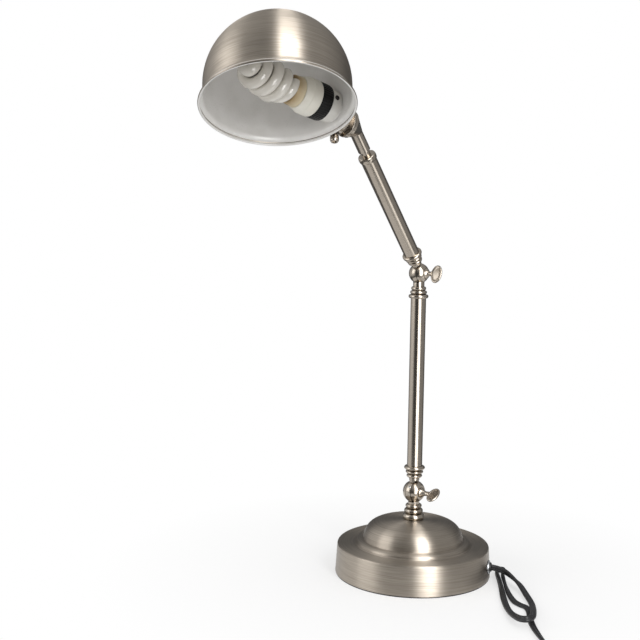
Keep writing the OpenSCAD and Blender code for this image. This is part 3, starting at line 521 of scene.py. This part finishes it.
# ---- base cover: spun steel, one skin from the crown to the felt
def cover_outline(wall):
    """The crown, its foot, the step ring and the side's rounded edge; wall moves them inward.

    The plain numbers are how far the handles and ends of the curves lie from those sizes.
    """
    return (
        bow((CROWN_FLAT_R, CROWN_TOP - wall), (CROWN_FOOT_R - 15.5, CROWN_TOP - wall),
            (CROWN_FOOT_R - 3.5 - wall, CROWN_TOP - 2.5 - wall), (CROWN_FOOT_R - wall, CROWN_FOOT_Z), 48)
        + bow((CROWN_FOOT_R + 0.5 - wall, CROWN_FOOT_Z - 0.4),
              (CROWN_FOOT_R + 3.5 - wall, CROWN_FOOT_Z - 0.5), (STEP_RING_R - 1.4 - wall, SIDE_H + 4),
              (STEP_RING_R - 1 - wall / 2, SIDE_H + 1.2 - wall), 16)
        + [(STEP_RING_R + 0.4, SIDE_H - wall)]
        + arc((BASE_R - BASE_DRAFT - EDGE_R, SIDE_H - EDGE_R), EDGE_R - wall, 90, 3, 10))


def make_cover():
    profile = ([(NIPPLE_HOLE_R, CROWN_TOP - COVER_WALL), (NIPPLE_HOLE_R, CROWN_TOP)] + cover_outline(0)
               + [(BASE_R, PAD_T), (BASE_R - COVER_WALL, PAD_T)] + cover_outline(COVER_WALL)[::-1])
    lathe("spun_cover", profile, UPRIGHT, "base", ["base_cover"], [NICKEL_COVER], sides=256)


# ---- shade: spun dome, nickel outside, enamel inside and over the rolled lip
LIP_STEPS = 16


def shade_outline(wall):
    """The dome, its short straight side and the flare to the lip; wall moves them inward.

    The plain numbers are how far the flare's handles and ends lie from those sizes.
    """
    return (arc((0, 0), SHADE_R - wall, 90, 0, 60) + [(SHADE_R - wall, -RIM_DEPTH + 8.6)]
            + bow((SHADE_R - wall, -RIM_DEPTH + 7.1), (SHADE_R - wall, -RIM_DEPTH + 4),
                  (RIM_R - 1.6 - wall, -RIM_DEPTH + 2.2), (RIM_R - 1.2, -RIM_DEPTH + 1.6 + wall / 2), 16))


def make_shade():
    outside = shade_outline(0)
    lip = arc((RIM_R - LIP_R, -RIM_DEPTH), LIP_R, 60, -180, LIP_STEPS)
    inside = shade_outline(SHADE_WALL)[::-1]
    profile = outside + lip + inside
    profile[0] = (0, profile[0][1])
    profile[-1] = (0, profile[-1][1])
    split = (len(outside) + LIP_STEPS // 2, len(profile))
    lathe("spun_shade", profile, SHADE, "head", ["shade"], [NICKEL_SHADE, ENAMEL], sides=256,
          split=split)
    boss = [(PAD_HOLE_R, 0), (PAD_R - BOSS_EDGE, 0), (PAD_R, BOSS_EDGE), (PAD_R, BOSS_T - BOSS_EDGE),
            (PAD_R - BOSS_EDGE, BOSS_T), (PAD_HOLE_R, BOSS_T)]
    lathe("shade_boss", boss, HEAD @ shift(z=PAD_Z), "head", [], [ENAMEL])


# ---- tubes
def make_tubes():
    low = BASE_BALL_R + COLLAR_CLEAR + COLLAR_H * FOOT_SIZE - TUBE_SEAT + FIT
    elbow_collar = ELBOW_BALL_R + COLLAR_CLEAR + COLLAR_H - TUBE_SEAT
    high = ELBOW_Z - BASE_PIVOT_Z - elbow_collar - FIT
    for name, place, foot, top, body, replaced, nickel in [
            ("lower_arm_tube", AT_BASE_PIVOT, low, high, "lower_arm", "lower_tube", NICKEL_UPRIGHT),
            ("upper_arm_tube", UPPER_ARM, elbow_collar + FIT, UPPER_TUBE_END, "upper_arm", "upper_tube",
             NICKEL_ARM)]:
        profile = [(TUBE_BORE, foot), (TUBE_R, foot), (TUBE_R, top), (TUBE_BORE, top)]
        lathe(name, profile, place, body, [replaced], [nickel], sides=96)


# ---- thumb screws: a coned neck and an oval paddle with a raised rim
# inset from the paddle's edge, half thickness there: a rolled rim, then a flat web
PADDLE_RIM = [(0, 0), (0.1, 0.4), (0.35, 0.8), (0.75, 1.08), (1.2, 1.2), (1.6, 1.12), (2.1, 0.86),
              (2.6, 0.74), (4.5, 0.7), (6.3, 0.68)]
PADDLE_SIDES = 64


def paddle_mesh(middle):
    """Both faces of an oval paddle that stands on edge along the screw, x along it and z across."""
    shape = bmesh.new()
    levels = PADDLE_RIM[::-1] + [(inset, -half) for inset, half in PADDLE_RIM[1:]]
    rings = []
    for inset, half in levels:
        along = PADDLE_L / 2 - inset
        across = PADDLE_W / 2 - inset
        rings.append([shape.verts.new(((middle + along * c) * MM, half * MM, across * s * MM))
                      for c, s in circle(PADDLE_SIDES)])
    bridge(shape, rings)
    shape.faces.new(rings[0])
    shape.faces.new(rings[-1][::-1])
    return shape


def make_thumb_screw(name, pivot, reach, paddle_turn, body, replaced, nickel):
    """A shaft through the knuckle, a thin flange, and a neck that narrows and swells to the paddle."""
    place = pivot @ turn(x=-paddle_turn)
    foot = SCREW_SHOULDER
    neck = ([(0, -foot - SCREW_TIP), (SCREW_R, -foot - SCREW_TIP), (SCREW_R, foot), (FLANGE_R, foot),
             (FLANGE_R, foot + 0.6)]
            + bow((5.2, foot + 0.9), (4.4, foot + 1.5), (3.2, foot + 0.35 * reach),
                  (2.5, foot + 0.66 * reach), 14)
            + bow((2.45, foot + 0.74 * reach), (2.4, foot + 0.88 * reach), (2.6, foot + reach - 0.2),
                  (2.8, foot + reach + 1), 8)
            + [(1.6, foot + reach + 1.9), (0, foot + reach + 2.1)])
    lathe(name + "_neck", neck, place @ turn(y=90), body, [replaced], [nickel], sides=64)
    paddle = paddle_mesh(foot + reach + PADDLE_L / 2)
    finish_mesh(name + "_paddle", paddle, place, body, [], [nickel])


# ---- the small socket screw in the front of the lower ball, from the ball's middle
GRUB_AT = Vector((0.88, -9.81, 6.49))
GRUB_OUTLINE = [(0, -1.2), (1.25, -1.2), (1.25, 0.35), (1.05, 0.55), (0.65, 0.55), (0.6, -0.2), (0, -0.25)]


def make_grub_screw():
    place = AT_BASE_PIVOT @ shift(*GRUB_AT) @ GRUB_AT.to_track_quat("Z", "Y").to_matrix().to_4x4()
    lathe("ball_grub_screw", GRUB_OUTLINE, place, "lower_arm", [], [ZINC], sides=32)


# ---- lampholder: flutes on the black ring, and the sleeve's side screw
# one end of the fluted band: rise over the ring's face, distance from the ring's end
FLUTE_END = [(-0.3, 0.5), (0.02, 0.5), (0.1, 0.9), (0.38, 1.5)]
PLAIN_RISE = 0.05  # up to this rise the band is plain
FLUTE_STEPS = 6
SLEEVE_SCREW_OUTLINE = [(0, -1.2), (1.7, -1.2), (1.7, 0.05), (2.3, 0.05), (2.3, 0.7), (1.9, 1.25),
                        (1.2, 1.55), (0.7, 1.6), (0.6, 0.8), (0, 0.8)]


def make_holder():
    shape = bmesh.new()
    rows = FLUTE_END + [(rise, HOLDER_L - inset) for rise, inset in reversed(FLUTE_END)]
    rings = []
    for rise, height in rows:
        ring = []
        for k, (c, s) in enumerate(circle(FLUTES * FLUTE_STEPS)):
            crest = 0.5 + 0.5 * math.cos(2 * math.pi * k / FLUTE_STEPS)
            radius = HOLDER_R + rise * (crest if rise > PLAIN_RISE else 1)
            ring.append(shape.verts.new((radius * c * MM, radius * s * MM, height * MM)))
        rings.append(ring)
    bridge(shape, rings + rings[:1])
    finish_mesh("fluted_ring", shape, HEAD @ shift(z=HOLDER_Z), "head", [], [PHENOLIC],
                crease=60)
    place = HEAD @ shift(z=SLEEVE_SCREW_Z) @ turn(z=SLEEVE_SCREW_TURN) @ turn(y=90) @ shift(z=SLEEVE_R)
    lathe("sleeve_screw", SLEEVE_SCREW_OUTLINE, place, "head", ["holder_screw"], [DARK_STEEL],
          sides=40)


# ---- bulb
# height over a helix's start, distance of the tube's middle from the bulb's axis
SWELL = [(-10, 8), (0, 9.9), (2.8, 10.8), (8, 13), (13.4, 13.8), (19, 13.3), (24.6, 12.2), (30, 10.8),
         (36, 9.3), (44, 8)]
SWELL_BLEND = 1.5
GLASS_FOOT = BALLAST_FOOT + BALLAST_L + FIT + COLLAR_L + GLASS_LIFT
GLASS_SIDES = 24
FINE_STEP = GLASS_STEP / 4
TIP_STEP = 6


def swell_at(height):
    """Distance of a helix from the bulb's axis, its table read with soft corners."""
    total = 0
    for step in (-SWELL_BLEND, 0, SWELL_BLEND):
        z = height + step
        for (z0, r0), (z1, r1) in zip(SWELL, SWELL[1:]):
            if z <= z1:
                break
        total += r0 + (r1 - r0) * max(0, min(1, (z - z0) / (z1 - z0)))
    return total / 3


def glass_point(angle, side):
    height = GLASS_PITCH * angle / 360
    radius = swell_at(height)
    turned = math.radians(GLASS_TURN + 180 * side - angle)
    return Vector((radius * math.cos(turned), radius * math.sin(turned), GLASS_FOOT + height))


def make_spiral():
    """One glass tube: up one helix, over the tip and down the other."""
    last = GLASS_STEP * round(360 * SPIRAL_TURNS / GLASS_STEP)
    steps = round((last + GLASS_UNDER) / FINE_STEP)
    angles = [-GLASS_UNDER + FINE_STEP * i for i in range(steps + 1)]
    top = GLASS_PITCH * last / 360
    tip = []
    for t in range(TIP_STEP, 180, TIP_STEP):
        rise = math.sin(math.radians(t))
        radius = swell_at(top) * math.cos(math.radians(t))
        turned = math.radians(GLASS_TURN - last - TIP_TURN * rise)
        tip.append(Vector((radius * math.cos(turned), radius * math.sin(turned),
                           GLASS_FOOT + top + TIP_RISE * rise)))
    path = [glass_point(a, 0) for a in angles] + tip + [glass_point(a, 1) for a in reversed(angles)]
    in_place = [HEAD @ (p * MM) / MM for p in path]
    section = [(GLASS_R * c, GLASS_R * s) for c, s in circle(GLASS_SIDES)]
    swept("glass_spiral", in_place, section, carried(in_place), "head", ["bulb_spiral"], GLASS)


def make_collar():
    foot = BALLAST_R - 3
    profile = ([(0, 0), (foot - 0.4, 0), (foot, 0.5)]
               + bow((foot - 0.6, COLLAR_L - 1.6), (foot - 0.8, COLLAR_L - 0.5), (foot - 1.4, COLLAR_L),
                     (foot - 2.2, COLLAR_L), 8) + [(0, COLLAR_L)])
    lathe("glass_collar", profile, COLLAR_PLACE, "head", ["bulb_collar"], [COLLAR])


# ---- cord: the same route as the frame's, then the coil and the tail
CORD_ROUTE = [
    (78.44, 31.69, 14), (84.6, 34.1, 13.1), (93.4, 35.4, 11.2), (105.5, 30.2, 8.7),
    (118, 21.8, 6.6), (132.1, 8.6, 5), (146.3, -7.4, 4.6), (156.7, -23.4, 6), (167.4, -42.6, 8.6),
    (174.6, -58.2, 10.4), (174, -66.9, 10.6), (167.6, -67.2, 9.4), (158.7, -60, 7),
    (146.1, -46.9, 5), (133.3, -32.2, 3.8), (118.5, -12.5, 3.2), (102.8, 10.2, 3.2),
    (90.1, 28.2, 3.2), (79.9, 42.2, 3.2), (74.8, 49.6, 3.2), (72, 55.6, 3.2), (73, 60, 3.2),
    (76.6, 60.8, 3.2), (79, 57.2, 3.2), (81.2, 51.2, 3.2), (84.8, 45, 3.2), (89.9, 37.4, 3.2),
    (102.9, 19.2, 3.2), (117, 1.2, 3.2), (129.9, -11.9, 3.2), (139.6, -17.2, 3.2),
    (146.4, -19, 3.2), (152, -23.7, 3.2), (157.2, -30.7, 3.2), (162.6, -39.5, 3.2),
    (169.5, -50.3, 3.2), (178.8, -62.3, 3.2), (189.4, -74.4, 3.2), (200.3, -85.9, 3.2),
    (212, -97.4, 3.2), (224, -108.2, 3.4), (236, -119.4, 3.9)]
# turn of the flat lead at each point of the route: 0 stands on its edge, 90 lies flat
CORD_LIE = [
    0, 0, 10, 35, 70, 90, 90, 90, 90, 65, 40, 40, 60, 85, 90, 70, 25, 10, 0, 0, 0, 0, 0, 0, 0, 0, 5,
    25, 65, 90, 90, 90, 90, 90, 90, 90, 80, 65, 45, 30, 15, 0]
# heights of the lead's middle: up to the first it rests on the table, from the second it hangs clear
RESTS_BELOW = 5
CLEAR_ABOVE = 7
COIL_Z = CORD_W / 2 + COIL_LIFT
COIL_STEP = CORD_T + COIL_GAP
COIL_RISE = CORD_W + LAYER_GAP
COIL_ALL = 2 * COIL_TURNS + COIL_BRIDGE
ROUTE_STEPS = 6
RINGS_A_TURN = 72
TAIL_STEPS = 16
LEAD_SIDES = 24


def coil_point(t):
    """The lead's middle after t turns: inward in the lower layer, then outward in the upper."""
    radius = COIL_R - COIL_STEP * (COIL_ALL / 2 - abs(t - COIL_ALL / 2))
    angle = math.radians(COIL_ENTRY - 360 * t)
    up = min(1, max(0, (t - COIL_TURNS) / COIL_BRIDGE))
    return Vector((COIL_X + radius * math.cos(angle), COIL_Y + radius * math.sin(angle),
                   COIL_Z + COIL_RISE * ease(up)))


def ahead_at(angle):
    """The way the coil runs at an angle round it."""
    return Vector((math.sin(math.radians(angle)), -math.cos(math.radians(angle)), 0))


def smooth(points, per):
    """The smooth line through a list of points."""
    line = [points[0]]
    for i in range(len(points) - 1):
        a, b, c, d = (points[max(i - 1, 0)], points[i], points[i + 1], points[min(i + 2, len(points) - 1)])
        for k in range(1, per + 1):
            t = k / per
            line.append(0.5 * (2 * b + t * (c - a) + t * t * (2 * a - 5 * b + 4 * c - d)
                               + t ** 3 * (3 * b - a - 3 * c + d)))
    return line


def twin_section():
    """Flat twin lead on its edge: two round cores and the web between them."""
    lobe = CORD_T / 2
    middle = (CORD_W - CORD_T) / 2
    web = lobe - CORD_GROOVE
    section = []
    for c, s in circle(LEAD_SIDES):
        reach = middle * abs(s) + math.sqrt(max(0, lobe ** 2 - (middle * c) ** 2))
        # near the lead's waist the cores part, and the web is what shows
        reach = max(reach, web / abs(c)) if abs(c) > 0.9 else reach
        section.append((reach * c, reach * s))
    return section


def make_cord():
    steps = round(COIL_ALL * RINGS_A_TURN)
    coil = [coil_point(COIL_ALL * i / steps) for i in range(steps + 1)]
    exit_turn = COIL_ENTRY - 360 * COIL_ALL
    coil = [coil[0] - CORD_W * ahead_at(COIL_ENTRY)] + coil + [coil[-1] + CORD_W * ahead_at(exit_turn)]
    drop = PLUG_Z - coil[-1].z
    tail = []
    for i in range(1, TAIL_STEPS + 1):
        t = i / TAIL_STEPS
        tail.append(coil[-1] + TAIL_L * t * ahead_at(exit_turn) + Vector((0, 0, ease(t) * drop)))
    route = []
    for (x, y, z), lie in zip(CORD_ROUTE, CORD_LIE):
        # a lead that lies flat has its middle lower, by what its section loses in height
        rests = max(0, min(1, (CLEAR_ABOVE - z) / (CLEAR_ABOVE - RESTS_BELOW)))
        sunk = (CORD_W - CORD_T) / 2 * (1 - math.cos(math.radians(lie))) * rests
        route.append(Vector((x, y, z - sunk, lie)))
    loops = smooth(route + [Vector((*coil[0], 0))], ROUTE_STEPS)
    path = [p.to_3d() for p in loops] + coil[1:] + tail
    lies = [p.w for p in loops] + [0] * (len(path) - len(loops))
    sideways = []
    for i, lie in enumerate(lies):
        ahead = heading(path, i)
        level = Vector((0, 0, 1)).cross(ahead).normalized()
        sideways.append(Matrix.Rotation(math.radians(lie), 3, ahead) @ level)
    cord = swept("twin_cord", path, twin_section(), sideways, "base",
                 ["cord_loops", "cord_coil", "cord_tail"], PVC)


# ---- floor: a round white table, in metres
TABLE_R = 0.36
TABLE_SIDES = 128
GLOW_FROM = 0.13
GLOW_TO = 0.34
GLOW_LEAST = 0.55


def make_floor():
    """White paper: plain white at the table's edge, and nearer the lamp partly shaded by it.

    The lamp's metal and glass see it as the camera does. To all other light it is paper and no more.
    """
    mesh = bpy.data.meshes.new("floor")
    shape = bmesh.new()
    bmesh.ops.create_circle(shape, cap_ends=True, segments=TABLE_SIDES, radius=TABLE_R)
    shape.to_mesh(mesh)
    shape.free()
    floor = bpy.data.objects.new("floor", mesh)
    bpy.context.scene.collection.objects.link(floor)
    paper, tree, shader = new_material("white_paper_floor", Base_Color=hex_colour("#F7F7F7"), Roughness=0.9,
                                       Specular_IOR_Level=0.0)
    at = node(tree, "TexCoord").outputs["Object"]
    away = node(tree, "VectorMath", {0: at}, operation="LENGTH").outputs["Value"]
    glow = node(tree, "MapRange", {"Value": away, "From Min": GLOW_FROM, "From Max": GLOW_TO,
                                   "To Min": GLOW_LEAST, "To Max": 1.0}).outputs[0]
    ray = node(tree, "LightPath").outputs
    straight = node(tree, "Math", {0: ray["Is Camera Ray"], 1: ray["Is Transmission Ray"]},
                    operation="MAXIMUM").outputs[0]
    viewed = node(tree, "Math", {0: straight, 1: ray["Is Glossy Ray"]}, operation="MAXIMUM").outputs[0]
    share = node(tree, "Math", {0: viewed, 1: glow}, operation="MULTIPLY").outputs[0]
    white = node(tree, "Emission", {"Color": (1, 1, 1, 1), "Strength": 1.0}).outputs[0]
    both = node(tree, "MixShader", {0: share, 1: shader.outputs[0], 2: white}).outputs[0]
    tree.links.new(both, tree.nodes["Material Output"].inputs["Surface"])
    mesh.materials.append(paper)


# ---- world: the room that the metal sees past the table's edge
# share of the way round, brightness: from behind the lamp by the left, the camera at 0.5, and the right
STUDIO = [
    (0.00, 0.02), (0.09, 0.03), (0.14, 0.12), (0.22, 0.17), (0.31, 0.15), (0.35, 0.07), (0.38, 0.015),
    (0.49, 0.015), (0.51, 0.35), (0.53, 1.00), (0.58, 1.00), (0.61, 0.15), (0.64, 0.07), (0.79, 0.07),
    (0.84, 0.02), (1.00, 0.02)]
# the same below the table's level, with a long panel to the right that the leaning arm mirrors
LOW_STUDIO = [
    (0.00, 0.02), (0.60, 0.03), (0.625, 0.08), (0.645, 0.40), (0.675, 0.40), (0.695, 0.03), (0.80, 0.06),
    (1.00, 0.02)]
STUDIO_STRENGTH = 6
CEILING = 0.5
ROOM_LIGHT = 0.74
# the Z of a direction, between which the low walls and the ceiling take over
LOW_FROM = -0.3
LOW_TO = -0.5
HIGH_FROM = 0.2
HIGH_TO = 0.75


def grey(level):
    return (level, level, level, 1)


def make_world():
    """White to the camera, the studio's walls to the metal, and an even light to all the rest."""
    world = bpy.data.worlds.new("studio")
    bpy.context.scene.world = world
    world.use_nodes = True
    tree = world.node_tree
    background = tree.nodes["Background"]
    way = node(tree, "TexCoord").outputs["Generated"]
    turned = node(tree, "VectorRotate", {"Vector": way, "Angle": -CAMERA_SIDE},
                  rotation_type="Z_AXIS").outputs[0]
    parts = node(tree, "SeparateXYZ", {0: turned}).outputs
    angle = node(tree, "Math", {0: parts["Y"], 1: parts["X"]}, operation="ARCTAN2").outputs[0]
    share = node(tree, "MapRange", {"Value": angle, "From Min": -math.pi, "From Max": math.pi}).outputs[0]
    walls = node(tree, "ValToRGB", {"Fac": share}, stops=[(p, grey(v)) for p, v in STUDIO]).outputs["Color"]
    low_walls = node(tree, "ValToRGB", {"Fac": share},
                     stops=[(p, grey(v)) for p, v in LOW_STUDIO]).outputs["Color"]
    low = node(tree, "MapRange", {"Value": parts["Z"], "From Min": LOW_FROM, "From Max": LOW_TO}).outputs[0]
    all_walls = node(tree, "Mix", {"Factor": low, "A": walls, "B": low_walls},
                     data_type="RGBA").outputs["Result"]
    bright = node(tree, "VectorMath", {0: all_walls, "Scale": STUDIO_STRENGTH}, operation="SCALE").outputs[0]
    high = node(tree, "MapRange", {"Value": parts["Z"], "From Min": HIGH_FROM,
                                   "From Max": HIGH_TO}).outputs[0]
    studio = node(tree, "Mix", {"Factor": high, "A": bright, "B": grey(CEILING)}, data_type="RGBA",
                  blend_type="LIGHTEN").outputs["Result"]
    ray = node(tree, "LightPath").outputs
    seen = node(tree, "Mix", {"Factor": ray["Is Camera Ray"], "A": grey(ROOM_LIGHT), "B": grey(1)},
                data_type="RGBA").outputs["Result"]
    glossy = node(tree, "Math", {0: ray["Is Glossy Ray"], 1: ray["Is Camera Ray"]},
                  operation="SUBTRACT").outputs[0]
    colour = node(tree, "Mix", {"Factor": glossy, "A": seen, "B": studio}, data_type="RGBA").outputs["Result"]
    tree.links.new(colour, background.inputs["Color"])


# ---- lamps, in metres and watts
LAMPS_AIM = Vector((0, 0, 0.3))


def make_lamp(name, azimuth, height, distance, size, power):
    """A soft box on a stand; azimuth is in degrees from the camera's place toward its right."""
    lamp = bpy.data.objects.new(name, bpy.data.lights.new(name, "AREA"))
    lamp.data.shape = "RECTANGLE"
    lamp.data.size, lamp.data.size_y = size
    lamp.data.energy = power
    angle = CAMERA_SIDE + math.radians(azimuth)
    lamp.location = (distance * math.cos(angle), distance * math.sin(angle), height)
    aim = LAMPS_AIM - lamp.location
    lamp.rotation_euler = aim.to_track_quat("-Z", "Y").to_euler()
    bpy.context.scene.collection.objects.link(lamp)


set_camera()
make_cover()
make_shade()
make_tubes()
make_holder()
make_spiral()
make_collar()
make_thumb_screw("base_screw", AT_BASE_PIVOT, *BASE_PADDLE, "base_thumb", "base_thumbscrew",
                 NICKEL_SCREW_LOW)
make_thumb_screw("elbow_screw", AT_ELBOW, *ELBOW_PADDLE, "elbow_thumb", "elbow_thumbscrew",
                 NICKEL_SCREW_HIGH)
make_grub_screw()
make_cord()
make_floor()
make_world()
make_lamp("key_softbox", azimuth=24, height=1.3, distance=1.9, size=(0.5, 1.4), power=16)
make_lamp("fill_softbox", azimuth=-75, height=0.9, distance=2.0, size=(1.2, 1.4), power=10)
bpy.context.scene.view_settings.view_transform = "Standard"
